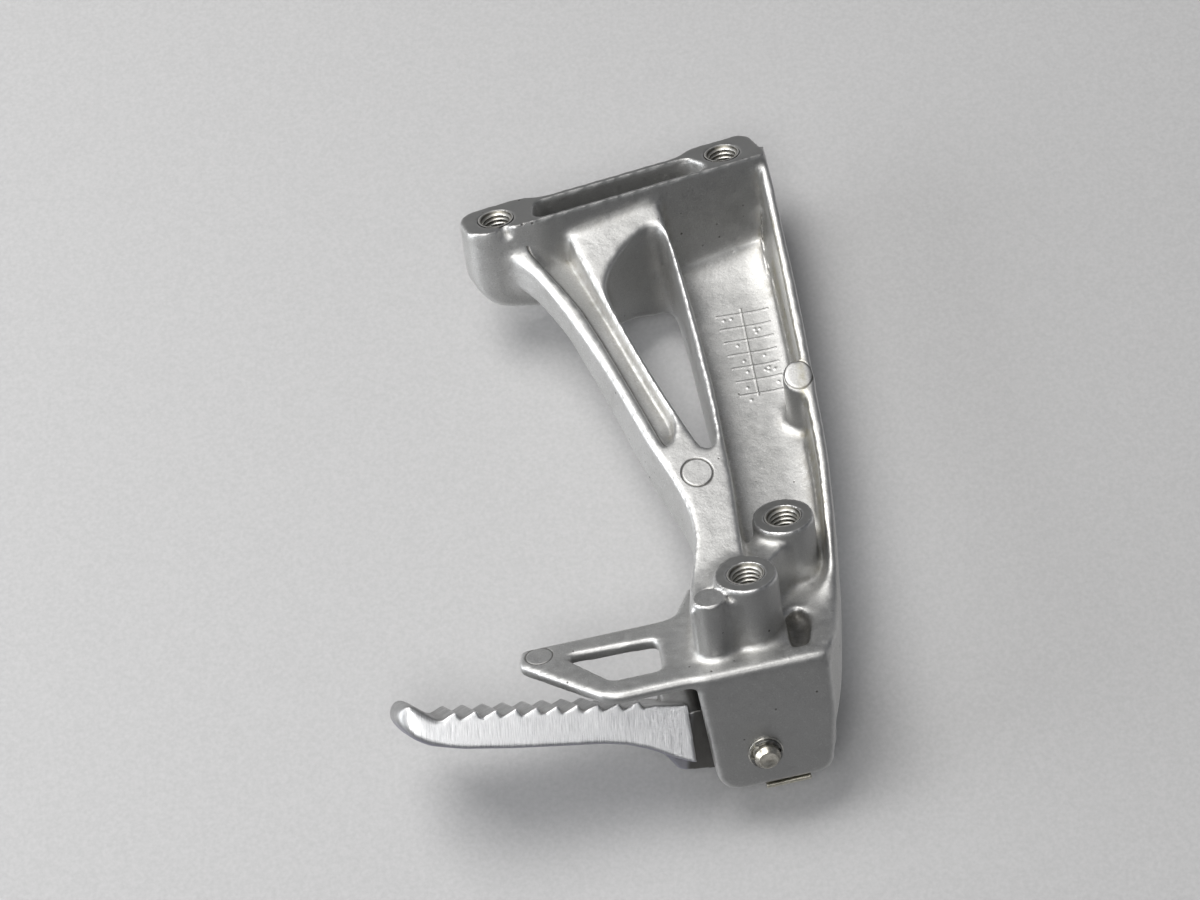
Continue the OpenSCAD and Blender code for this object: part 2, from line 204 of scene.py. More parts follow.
class Net:
    """vertex positions (bracket coordinates, mm) and edges of an object's mesh"""

    def __init__(self, ob):
        self.ob = ob
        self.read()

    def read(self):
        me = self.ob.data
        n = len(me.vertices)
        p = np.empty(n * 3, np.float32)
        me.vertices.foreach_get("co", p)
        self.p = to_local(p.reshape(-1, 3))
        e = np.empty(len(me.edges) * 2, np.int32)
        me.edges.foreach_get("vertices", e)
        self.e = e.reshape(-1, 2)
        self.deg = np.maximum(np.bincount(self.e.ravel(), minlength=n), 1).astype(float)

    def mean(self, q):
        a, b = self.e[:, 0], self.e[:, 1]
        n = len(self.deg)
        if q.ndim == 1:
            return (np.bincount(a, q[b], n) + np.bincount(b, q[a], n)) / self.deg
        return np.stack([(np.bincount(a, q[b, k], n) + np.bincount(b, q[a, k], n)) / self.deg for k in range(q.shape[1])], -1)

    def relaxed(self, steps, w=None, rate=0.6, start=None):
        p = (self.p if start is None else start).copy()
        w = rate if w is None else (rate * w)[:, None]
        for _ in range(steps):
            p += w * (self.mean(p) - p)
        return p

    def spread(self, q, steps):
        for _ in range(steps):
            q = 0.5 * q + 0.5 * self.mean(q)
        return q

    def write(self):
        self.ob.data.vertices.foreach_set("co", to_world(self.p).astype(np.float32).ravel())
        self.ob.data.update()

    def normals(self):
        self.write()
        n = np.empty(len(self.p) * 3, np.float32)
        self.ob.data.vertex_normals.foreach_get("vector", n)
        n = n.reshape(-1, 3).astype(float)
        return np.stack([n[:, 0], n[:, 1] * CT - n[:, 2] * ST, n[:, 1] * ST + n[:, 2] * CT], -1)


def relax_region(net, w, steps, fill_only=False, rate=0.6):
    """relaxes only the vertices with a weight; fill_only keeps just the outward part of the move"""
    on = w > 0.003
    sel = on[net.e[:, 0]] | on[net.e[:, 1]]
    e = net.e[sel]
    ids, inv = np.unique(e.ravel(), return_inverse=True)
    e = inv.reshape(-1, 2)
    q = net.p[ids].copy()
    deg = np.maximum(np.bincount(e.ravel(), minlength=len(ids)), 1).astype(float)
    ww = (rate * w[ids])[:, None]
    for _ in range(steps):
        m = np.stack([(np.bincount(e[:, 0], q[e[:, 1], k], len(ids)) + np.bincount(e[:, 1], q[e[:, 0], k], len(ids))) / deg
                      for k in range(3)], -1)
        q += ww * (m - q)
    if fill_only:
        n = net.normals()[ids]
        push = np.clip(np.einsum("ij,ij->i", q - net.p[ids], n), 0, None)
        net.p[ids] += n * push[:, None]
    else:
        net.p[ids] = q


def attribute(ob, name, data):
    me = ob.data
    kind = "FLOAT" if data.ndim == 1 else "FLOAT_VECTOR"
    a = me.attributes.get(name)
    if a:
        me.attributes.remove(a)
    a = me.attributes.new(name, kind, "POINT")
    a.data.foreach_set("value" if data.ndim == 1 else "vector", data.astype(np.float32).ravel())


def smoothstep(a, b, x):
    t = np.clip((x - a) / (b - a), 0, 1)
    return t * t * (3 - 2 * t)


def polyline_distance(p, pts):
    """distance in plan from points to a polyline, and the side (positive on its right going along it)"""
    best = np.full(len(p), 1e9)
    side = np.zeros(len(p))
    for a, b in zip(pts[:-1], pts[1:]):
        a, b = np.array(a, float), np.array(b, float)
        d = b - a
        t = np.clip(((p - a) @ d) / (d @ d), 0, 1)
        q = p - (a + t[:, None] * d)
        r = np.hypot(q[:, 0], q[:, 1])
        m = r < best
        best[m] = r[m]
        side[m] = np.sign(d[1] * q[m, 0] - d[0] * q[m, 1])
    return best, side


def curvature(net, steps):
    """signed bend of the surface, positive on convex edges, and its wider version"""
    n = net.normals()
    c = -np.einsum("ij,ij->i", net.mean(net.p) - net.p, n)
    c = net.spread(c, 2)
    return c, net.spread(c, steps)


def subdivide_where(ob, test, cuts=1):
    """splits the quads whose centres pass the test, on positions in bracket coordinates"""
    bm = bmesh.new()
    bm.from_mesh(ob.data)
    c = np.array([f.calc_center_median()[:] for f in bm.faces])
    keep = test(to_local(c))
    bm.faces.ensure_lookup_table()
    faces = [bm.faces[i] for i in np.nonzero(keep)[0]]
    edges = list({e for f in faces for e in f.edges})
    bmesh.ops.subdivide_edges(bm, edges=edges, cuts=cuts, use_grid_fill=True)
    bm.to_mesh(ob.data)
    bm.free()
    ob.data.polygons.foreach_set("use_smooth", [True] * len(ob.data.polygons))
    ob.data.update()


# ---------------------------------------------------------------- bracket
BOSS_1 = np.array([14.1, 20.9])
BOSS_2 = np.array([0.0, 0.0])
PAD = np.array([-10.4, -5.2])
HOLE_A = flange_to_local(np.array([0, 0, 0.0]))
HOLE_B = flange_to_local(np.array([64, 0, 0.0]))
TAPPED = [(np.array([0, 0, 0.0]), 15), (np.array([14.1, 20.9, 0]), 15), (HOLE_A, 17), (HOLE_B, 17)]

casting = cad_copy("hanger_bracket", "hanger_casting")
cut(casting, [(c + [0, 0, 2.0], c - [0, 0, d + 0.6], 4.55) for c, d in TAPPED])
voxels(casting, 0.42)
net = Net(casting)
raw = net.p.copy()


def plan(p, c):
    return np.hypot(p[:, 0] - c[0], p[:, 1] - c[1])


def machined_mask(p):
    """1 on the milled faces: the two boss rings and the flange face"""
    f = flange_coords(p)
    m = np.zeros(len(p))
    for c in (BOSS_1, BOSS_2):
        m[(plan(p, c) < 8.2) & (p[:, 2] > -0.5)] = 1
    m[(f[:, 2] > -0.5)] = 1
    return m


keep = np.ones(len(raw))
# the bore of the pivot pin keeps its size, and the top by the ejector pad is relaxed less
keep[(np.hypot(raw[:, 0] - PIN[0], raw[:, 2] - PIN[2]) < 4.2) & (raw[:, 1] > -15.4) & (raw[:, 1] < 13.4)] = 0.25
near_pad = np.hypot(raw[:, 0] + 10.4, raw[:, 1] + 5.2) < 5.4
keep[near_pad & (raw[:, 2] > -4)] = 0.45
light = net.relaxed(15, keep)
net.p = light
n = net.normals()
# wide fillets only where the surface is hollow
inside_clevis = (raw[:, 1] > -9.6) & (raw[:, 1] < 7.6) & (raw[:, 2] < -20) & (raw[:, 0] < 12)
hollow_ok = np.where(inside_clevis, 0.0, 1.0)
hollow_ok[near_pad & (raw[:, 2] > -6)] = 0.15
in_core = (raw[:, 0] > 7) & (raw[:, 0] < 15) & (raw[:, 1] > -10.5) & (raw[:, 1] < 6.5) & (raw[:, 2] < -16.4) & (raw[:, 2] > -21.5)
hollow_ok[in_core] = 0.2
wide = net.relaxed(70, keep, start=light)
fill = np.einsum("ij,ij->i", wide - light, n)
fill = np.clip(fill, 0, None) * hollow_ok
net.p = light + n * fill[:, None]
# broad fillets at the foot of the channel, and where the right rim runs out into the platform
foot_line = [(7.0, 103.6), (10.6, 105.8), (13.9, 107.9), (20.5, 111.8), (28.3, 115.2), (33.0, 116.4)]
d_foot, _ = polyline_distance(net.p[:, :2], foot_line)
d_foot = np.hypot(d_foot, net.p[:, 2] - 22.0)
relax_region(net, (1 - smoothstep(8, 14, d_foot)) * (net.p[:, 0] > 5.6), 420, True)
q = net.p
run_out = (smoothstep(13, 16, q[:, 0]) * (1 - smoothstep(28, 31, q[:, 0])) * smoothstep(-9, -5, q[:, 1])
           * (1 - smoothstep(20, 25, q[:, 1])) * smoothstep(-19, -17.5, q[:, 2]) * smoothstep(8.6, 9.6, plan(q, BOSS_1)))
relax_region(net, run_out, 60)
# rounded front ridge of the platform and edges of the tab
ridge = np.hypot(q[:, 1] + 14.6, q[:, 2] + 17.4)
ridge = (1 - smoothstep(2.0, 4.2, ridge)) * (q[:, 0] > -40) * (q[:, 0] < 17)
relax_region(net, ridge, 55)
corner = 1 - smoothstep(2.0, 4.5, np.sqrt((q[:, 0] + 15.3) ** 2 + (q[:, 1] + 2.0) ** 2 + (q[:, 2] + 3.0) ** 2))
relax_region(net, corner * (plan(q, PAD) > 4.7), 40)
# the inner wall of the right rim leans gently into the channel
d_rim, _ = polyline_distance(q[:, :2], [(33.9, 104), (32.9, 91), (31.8, 79), (30.9, 68), (29.4, 57), (27.9, 42), (25.7, 29.5)])
lean = (1 - smoothstep(5.0, 8.5, d_rim)) * smoothstep(27, 34, q[:, 1]) * (1 - smoothstep(104, 112, q[:, 1]))
lean = lean * smoothstep(6.0, 8.5, np.hypot(q[:, 0] - 29.2, q[:, 1] - 61.6)) * (q[:, 2] > -16) * (q[:, 0] < 34)
relax_region(net, lean, 230, True)
on_tab = (q[:, 0] < -16) & (q[:, 2] > -21.5) & (q[:, 2] < -16) & (q[:, 1] < 16)
relax_region(net, on_tab * 1.0, 7)
net.p = net.relaxed(3, keep)
# flat top of the ejector pad beside the pivot boss
m = (plan(net.p, PAD) < 3.75) & (net.p[:, 2] > -1.9)
net.p[m, 2] = -1.0
# milled faces are flat
f = flange_coords(net.p)
for c in (BOSS_1, BOSS_2):
    m = (plan(net.p, c) < 7.5) & (plan(net.p, c) > 4.4) & (net.p[:, 2] > -0.6)
    net.p[m, 2] = 0.0
m = f[:, 2] > -0.8
net.p[m, 2] = 50.0 - 0.8 * (np.clip(-f[m, 2], 0, 0.8) / 0.8) ** 2
net.write()

GRID_ROWS = [96.3, 92.3, 88.3, 84.3, 80.3, 76.2, 72.0]
fine_spots = [(-3.8, 33.2, 5.2), (29.2, 61.8, 4.6), (-10.4, -5.2, 4.6), (-52.0, 8.4, 5.0)]


def fine(p):
    u, v, w = p[:, 0], p[:, 1], p[:, 2]
    m = np.zeros(len(p), bool)
    for x, y, r in fine_spots:
        m |= (np.hypot(u - x, v - y) < r) & (w > -18)
    m |= (u > 13.5) & (u < 31) & (v > 70) & (v < 98) & (w > 0) & (w < 21)
    return m


GROOVE = [(-31.0, 104.6), (-28.2, 99.6), (-24.6, 92.7), (-21.2, 85.4), (-18.2, 75.6), (-15.5, 65.2), (-12.9, 54.6),
          (-11, 46.6), (-9.9, 42.6)]
RIM_IN = [(33.9, 104), (32.9, 91), (31.8, 79), (30.9, 68), (29.4, 57), (27.9, 42), (25.7, 29.5), (24, 21.5)]


def by_groove(p):
    return (polyline_distance(p[:, :2], GROOVE)[0] < 1.3) & (p[:, 2] > 4)


subdivide_where(casting, fine, 1)
subdivide_where(casting, fine, 1)
subdivide_where(casting, by_groove, 1)
net = Net(casting)
n = net.normals()
p = net.p
u, v, w = p[:, 0], p[:, 1], p[:, 2]
up = n[:, 2] > 0.6
h = np.zeros(len(p))
mark = np.zeros(len(p))


def ring(x, y, r, depth, width, sel):
    d = np.hypot(u - x, v - y)
    g = np.exp(-((d - r) / width) ** 2) * sel
    return -depth * g, g


# ejector rings are cut as shallow grooves and darkened along them: painted shade
for x, y, r, depth, width, sel in [
        (-3.8, 33.2, 3.9, 0.22, 0.20, up),
        (29.2, 61.8, 3.7, 0.10, 0.22, up & (w > 12)),
        (-52.0, 8.4, 3.4, 0.12, 0.22, up & (w > -17.8))]:
    dh, g = ring(x, y, r, depth, width, sel.astype(float))
    h += dh
    mark = np.maximum(mark, g)
# date grid on the channel floor: plain raised lines
on_floor = up & (w > 0) & (w < 21) & (u > 13.5) & (u < 31)
for i, y in enumerate(GRID_ROWS):
    x0, x1 = (15.2, 29.2 - 0.35 * i)
    line = np.abs(v - (y - 0.055 * (u - 15)))
    g = np.exp(-(line / 0.20) ** 2) * ((u > x0) & (u < x1)) * on_floor
    h += 0.20 * g
    mark = np.maximum(mark, -g)
g = np.exp(-((u - (20.0 + (v - 72) * 0.083)) / 0.20) ** 2) * ((v > 71) & (v < 97.5)) * on_floor
h += 0.16 * g
# thin groove down the inner edge of the left rim, darkened along it as painted shade
dg, sg = polyline_distance(p[:, :2] - np.array([0.35, 0.1]), GROOVE)
g = np.exp(-(dg / 0.30) ** 2) * (n[:, 2] > 0.25) * (w > 4)
h -= 0.26 * g
mark = np.maximum(mark, 0.9 * g)
# small bumps left by worn characters' cells, plain dots
rng = np.random.RandomState(7)
for _ in range(16):
    y = GRID_ROWS[rng.randint(0, 7)] - rng.uniform(1.0, 3.0)
    x = rng.choice([17.6, 24.6]) + rng.uniform(-1.2, 1.6)
    d = np.hypot((u - x), (v - y))
    h += 0.14 * np.exp(-(d / 0.34) ** 2) * on_floor
net.p = p + n * h[:, None]
net.write()
# painted shade in the core pocket beside the pivot boss and in the low corner between the bosses
core = smoothstep(7, 8.4, u) * (1 - smoothstep(13.4, 15, u)) * smoothstep(-10.4, -9, v) * (1 - smoothstep(5, 6.6, v)) * (w < -17.5) * (w > -22)
mark = np.maximum(mark, 0.85 * core)
low_end = (1 - smoothstep(8.5, 11, u)) * smoothstep(2.5, 4, u) * smoothstep(9, 13, v) * (1 - smoothstep(20, 27, v)) * (w < -7.5) * (w > -18)
mark = np.maximum(mark, 0.75 * low_end)
dr, sr = polyline_distance(p[:, :2], RIM_IN)
silt = np.exp(-(dr / 1.1) ** 2) * (w > -12) * (n[:, 2] > 0.1)
attribute(casting, "silt", silt)

n = net.normals()
side_wall = (1 - smoothstep(0.25, 0.5, np.abs(n[:, 2]))) * (w < -0.8) * (w > -17)
by_boss = np.minimum(np.minimum(plan(p, BOSS_1) - 7.8, plan(p, BOSS_2) - 7.8), plan(p, PAD) - 4.2)
# painted shade by facing direction: walls facing -y, flat tops and the side walls by the bosses are darkened, sparing
# the flange's left block front wall
dull = 0.62 * smoothstep(0.40, 0.95, -n[:, 1]) + 0.22 * smoothstep(0.93, 0.985, n[:, 2])
dull = np.maximum(dull, 0.55 * side_wall * (1 - smoothstep(0.4, 0.9, by_boss)) * smoothstep(-0.2, 0.5, np.abs(n[:, 0])))
dull = dull * (1 - 0.9 * (1 - smoothstep(7, 13, flange_coords(p)[:, 0])) * smoothstep(14, 22, w))
attribute(casting, "dull", net.spread(dull, 5))
c_fine, c_wide = curvature(net, 10)
c_fine = net.spread(c_fine, 4)
attribute(casting, "edge", np.clip(c_fine * 15, -1, 1))
attribute(casting, "hollow", np.clip(-c_wide * 30, -1, 1))
attribute(casting, "mm", net.p)
attribute(casting, "milled", machined_mask(net.p))
attribute(casting, "mark", np.clip(mark, 0, 1))
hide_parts("hanger_bracket")
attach(casting, "hanger")


def thread(name, centre, depth):
    """countersink, M8 thread and drill point, as one turned surface"""
    seg, per, pitch = 80, 10, 1.25
    turns = int(depth / pitch) + 2
    # per-vertex painted light: high on the crests and the countersink lip, low in the thread roots
    verts, faces, crest_light_root_shade = [], [], []

    def put(k, r, z, c):
        a = 2 * math.pi * k / seg
        verts.append([centre[0] + r * math.cos(a), centre[1] + r * math.sin(a), centre[2] + z])
        crest_light_root_shade.append(c)
        return len(verts) - 1

    def radius(z, i):
        tri = abs((i % per) / per - 0.5) * 2
        r = 3.40 + 0.62 * min(1, max(0, (tri - 0.12) / 0.76))
        return max(r, 4.30 + 0.95 * (z + 0.0) if z > -0.95 else 0), 1 - tri

    cols = []
    for k in range(seg + 1):
        col = [put(k, 4.66, -0.06, 0.6), put(k, 4.46, 0.0, 1.0), put(k, 4.34, -0.03, 1.0)]
        for i in range(turns * per + 1):
            z = -(i - per) * pitch / per - pitch * k / seg
            z = min(-0.05 - 0.0002 * i, max(-depth - 0.0002 * i, z))
            r, c = radius(z, i)
            col.append(put(k, r, z, c))
        col.append(put(k, 3.40, -depth - 0.2, 0.2))
        col.append(put(k, 1.7, -depth - 1.2, 0.1))
        col.append(put(k, 0.02, -depth - 1.9, 0.1))
        cols.append(col)
    for k in range(seg):
        a, b = cols[k], cols[k + 1]
        for j in range(len(a) - 1):
            faces.append((a[j], a[j + 1], b[j + 1], b[j]))
    ob = build(name, np.array(verts), faces)
    attribute(ob, "mm", np.array(verts))
    attribute(ob, "edge", np.array(crest_light_root_shade))
    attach(ob, "hanger")
    return ob


threads = [thread(f"thread_{nm}", c, d) for nm, (c, d) in zip(
    ("pivot_boss", "arm_boss", "flange_left", "flange_right"), TAPPED)]

# ---------------------------------------------------------------- foot peg
peg = cad_copy("foot_peg", "foot_peg_casting")
voxels(peg, 0.30)
pn = Net(peg)
t, r, nn = peg_coords(pn.p).T
w8 = np.ones(len(pn.p))
w8[(np.hypot(pn.p[:, 0] - PIN[0], pn.p[:, 2] - PIN[2]) < 4.4)] = 0.3
pn.p = pn.relaxed(6, w8)
t, r, nn = peg_coords(pn.p).T
relax_region(pn, smoothstep(77, 82, t), 60)
relax_region(pn, (1 - smoothstep(-1.2, 0.6, nn)) * smoothstep(20, 24, t) * (1 - smoothstep(77, 82, t)), 14)
pnrm = pn.normals()
t, r, nn = peg_coords(pn.p).T
side_on = np.abs(pnrm @ R_AX)
attribute(peg, "ground", smoothstep(0.80, 0.97, side_on) * smoothstep(10.2, 11.4, np.abs(r)) * smoothstep(15.5, 16.5, t))
# painted shade on the peg faces turned down, a purple-grey tint
attribute(peg, "lower", smoothstep(0.2, 0.75, -(pnrm @ N_AX)) * smoothstep(16, 18, t))
# painted shadow on the lug inside the clevis gap, where the ears shade it
attribute(peg, "lug", 1 - smoothstep(16.5, 18.0, t) * 1.0)
c_fine, c_wide = curvature(pn, 8)
attribute(peg, "edge", np.clip(c_fine * 14, -1, 1))
attribute(peg, "hollow", np.clip(-c_wide * 30, -1, 1))
attribute(peg, "trn", peg_coords(pn.p))
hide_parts("foot_peg")
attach(peg, "peg")


# ---------------------------------------------------------------- turned parts
def lathe(name, profile, centre, axis, seg=96, sharp=None):
    """profile: (distance along the axis, radius) in mm"""
    axis = np.asarray(axis, float)
    s = np.cross(axis, [0, 0, 1.0])
    s /= np.linalg.norm(s)
    q = np.cross(axis, s)
    verts, faces = [], []
    for a, r in profile:
        for k in range(seg):
            th = 2 * math.pi * k / seg
            verts.append(centre + axis * a + r * (math.cos(th) * s + math.sin(th) * q))
    m = len(profile)
    for j in range(m - 1):
        for k in range(seg):
            faces.append((j * seg + k, j * seg + (k + 1) % seg, (j + 1) * seg + (k + 1) % seg, (j + 1) * seg + k))
    return build(name, np.array(verts), faces), np.array(verts)


def arc(cx, cy, r, a0, a1, k=5):
    return [(cx + r * math.cos(math.radians(a0 + (a1 - a0) * i / k)), cy + r * math.sin(math.radians(a0 + (a1 - a0) * i / k)))
            for i in range(k + 1)]


def pin_profile():
    e = -18.8
    pr = [(e + 0.22, 0.001), (e + 0.18, 0.9), (e + 0.06, 1.6), (e, 2.1)]
    pr += arc(e + 0.12, 2.28, 0.12, 180, 90, 3)
    pr += [(e + 1.05, 3.12)] + arc(e + 1.3, 3.05, 0.2, 120, 90, 3)
    pr += [(-16.52, 3.25), (-16.46, 3.2), (-16.45, 2.66), (-15.56, 2.66), (-15.55, 3.2), (-15.5, 3.25)]
    pr += [(-14.0, 3.25), (0, 3.25), (13.02, 3.25), (13.02, 5.2)] + arc(13.22, 5.2, 0.2, 180, 90, 3)
    pr += arc(13.7, 4.9, 0.5, 90, 45, 3)
    pr += [(14.9, 4.2), (15.25, 3.3), (15.5, 1.8), (15.6, 0.001)]
    return pr


pin, pv = lathe("pivot_pin_turned", pin_profile(), np.array([PIN[0], 0, PIN[2]]), [0, 1, 0])
attribute(pin, "mm", pv - np.array([PIN[0], 0, PIN[2]]))
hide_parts("pivot_pin")
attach(pin, "hanger")

washer, wv = lathe("pin_washer_turned", [(-15.04, 3.36), (-15.5, 3.36), (-15.54, 3.42)] + arc(-15.44, 4.28, 0.1, 180, 90, 3)
                   + [(-15.1, 4.4)] + arc(-15.1, 4.34, 0.06, 60, 0, 2) + [(-15.04, 3.36)], np.array([PIN[0], 0, PIN[2]]), [0, 1, 0])
attribute(washer, "mm", wv - np.array([PIN[0], 0, PIN[2]]))
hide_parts("pin_washer")
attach(washer, "hanger")


def softened(node, name, body, voxel, steps, mm_origin=(0, 0, 0)):
    ob = cad_copy(node, name)
    voxels(ob, voxel)
    k = Net(ob)
    k.p = k.relaxed(steps)
    cf, cw = curvature(k, 5)
    attribute(ob, "edge", np.clip(cf * 20, -1, 1))
    attribute(ob, "hollow", np.clip(-cw * 30, -1, 1))
    attribute(ob, "mm", k.p - np.array(mm_origin))
    k.write()
    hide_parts(node)
    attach(ob, body)
    return ob


clip = softened("pin_clip", "pin_clip_formed", "hanger", 0.09, 3, PIN)
plate = softened("detent_plate", "detent_plate_pressed", "hanger", 0.16, 3)


def ball_mesh():
    c = to_local(np.array([(a + b) / 2 for a, b in zip(*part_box("detent_ball"))])[None])[0]
    lo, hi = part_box("detent_ball")
    rad = (hi[0] - lo[0]) / 2 / MM
    k = 40
    prof = [(-rad * math.cos(math.pi * i / k), max(0.0008, rad * math.sin(math.pi * i / k))) for i in range(k + 1)]
    ob, vv = lathe("detent_ball_ground", prof, c, [0, 1, 0], 64)
    attribute(ob, "mm", vv - c)
    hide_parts("detent_ball")
    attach(ob, "ball")
    return ob


def spring_mesh():
    lo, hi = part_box("detent_spring")
    c = to_local(np.array([(a + b) / 2 for a, b in zip(lo, hi)])[None])[0]
    ball = to_local(np.array([(a + b) / 2 for a, b in zip(*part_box("detent_ball"))])[None])[0]
    x0, z0 = ball[0], ball[2]
    y0, y1 = ball[1] + 2.38 + 0.38, 3.2
    wire, turns, rc = 0.25, 6, 2.38 - 0.25 - 0.1
    nseg, kk = 36, 12
    verts, faces = [], []
    total = turns * nseg
    for i in range(total + 1):
        a = 2 * math.pi * i / nseg
        fr = i / total
        cc = np.array([x0 + rc * math.cos(a), y0 + wire + (y1 - y0 - 2 * wire) * fr, z0 + rc * math.sin(a)])
        o = np.array([math.cos(a), 0, math.sin(a)])
        for j in range(kk):
            b = 2 * math.pi * j / kk
            verts.append(cc + wire * (math.cos(b) * o + math.sin(b) * np.array([0, 1.0, 0])))
    for i in range(total):
        for j in range(kk):
            faces.append((i * kk + j, i * kk + (j + 1) % kk, (i + 1) * kk + (j + 1) % kk, (i + 1) * kk + j))
    faces.append(tuple(range(kk - 1, -1, -1)))
    faces.append(tuple(total * kk + j for j in range(kk)))
    ob = build("detent_spring_wound", np.array(verts), faces)
    attribute(ob, "mm", np.array(verts))
    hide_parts("detent_spring")
    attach(ob, "peg")
    return ob


ball = ball_mesh()
spring = spring_mesh()


# ---------------------------------------------------------------- materials
class Nodes:
    def __init__(self, name):
        self.m = bpy.data.materials.new(name)
        self.m.use_nodes = True
        self.t = self.m.node_tree
        self.b = self.t.nodes["Principled BSDF"]

    def add(self, kind, **inputs):
        nd = self.t.nodes.new(kind)
        for k, val in inputs.items():
            if k.startswith("_"):
                setattr(nd, k[1:], val)
            else:
                self.set(nd, k.replace("_", " "), val)
        return nd

    def set(self, nd, socket, val):
        s = nd.inputs[socket] if isinstance(socket, str) else nd.inputs[socket]
        if hasattr(val, "is_output") or isinstance(val, bpy.types.NodeSocket):
            self.t.links.new(val, s)
        else:
            s.default_value = val

    def attr(self, name):
        nd = self.t.nodes.new("ShaderNodeAttribute")
        nd.attribute_name = name
        return nd.outputs["Fac"] if name not in ("mm", "trn") else nd.outputs["Vector"]

    def scale(self, vec, s, loc=(0, 0, 0)):
        nd = self.t.nodes.new("ShaderNodeMapping")
        self.t.links.new(vec, nd.inputs["Vector"])
        nd.inputs["Scale"].default_value = s
        nd.inputs["Location"].default_value = loc
        return nd.outputs["Vector"]

    def noise(self, vec, scale, detail=3, rough=0.5, dist=0.0):
        nd = self.t.nodes.new("ShaderNodeTexNoise")
        self.t.links.new(vec, nd.inputs["Vector"])
        nd.inputs["Scale"].default_value = scale
        nd.inputs["Detail"].default_value = detail
        nd.inputs["Roughness"].default_value = rough
        nd.inputs["Distortion"].default_value = dist
        return nd.outputs["Fac"]

    def ramp(self, fac, stops, interp="LINEAR"):
        nd = self.t.nodes.new("ShaderNodeValToRGB")
        nd.color_ramp.interpolation = interp
        el = nd.color_ramp.elements
        while len(el) > len(stops):
            el.remove(el[-1])
        while len(el) < len(stops):
            el.new(0.5)
        for e, (pos, col) in zip(el, stops):
            e.position = pos
            e.color = (col, col, col, 1) if not hasattr(col, "__len__") else (*col, 1)
        self.t.links.new(fac, nd.inputs["Fac"])
        return nd.outputs["Color"]

    def math(self, op, a, b=0.0, c=None, clamp=False):
        nd = self.t.nodes.new("ShaderNodeMath")
        nd.operation = op
        nd.use_clamp = clamp
        self.set(nd, 0, a)
        self.set(nd, 1, b)
        if c is not None:
            self.set(nd, 2, c)
        return nd.outputs[0]

    def remap(self, x, a, b, c=0.0, d=1.0):
        nd = self.t.nodes.new("ShaderNodeMapRange")
        nd.clamp = True
        self.set(nd, "Value", x)
        for k, val in (("From Min", a), ("From Max", b), ("To Min", c), ("To Max", d)):
            nd.inputs[k].default_value = val
        return nd.outputs["Result"]

    def mix(self, fac, a, b, blend="MIX"):
        nd = self.t.nodes.new("ShaderNodeMix")
        nd.data_type = "RGBA"
        nd.blend_type = blend
        self.set(nd, 0, fac)
        self.set(nd, 6, a if not isinstance(a, tuple) else (*a, 1))
        self.set(nd, 7, b if not isinstance(b, tuple) else (*b, 1))
        return nd.outputs[2]

    def bump(self, height, strength, distance, normal=None):
        nd = self.t.nodes.new("ShaderNodeBump")
        nd.inputs["Strength"].default_value = strength
        nd.inputs["Distance"].default_value = distance
        self.t.links.new(height, nd.inputs["Height"])
        if normal is not None:
            self.t.links.new(normal, nd.inputs["Normal"])
        return nd.outputs["Normal"]


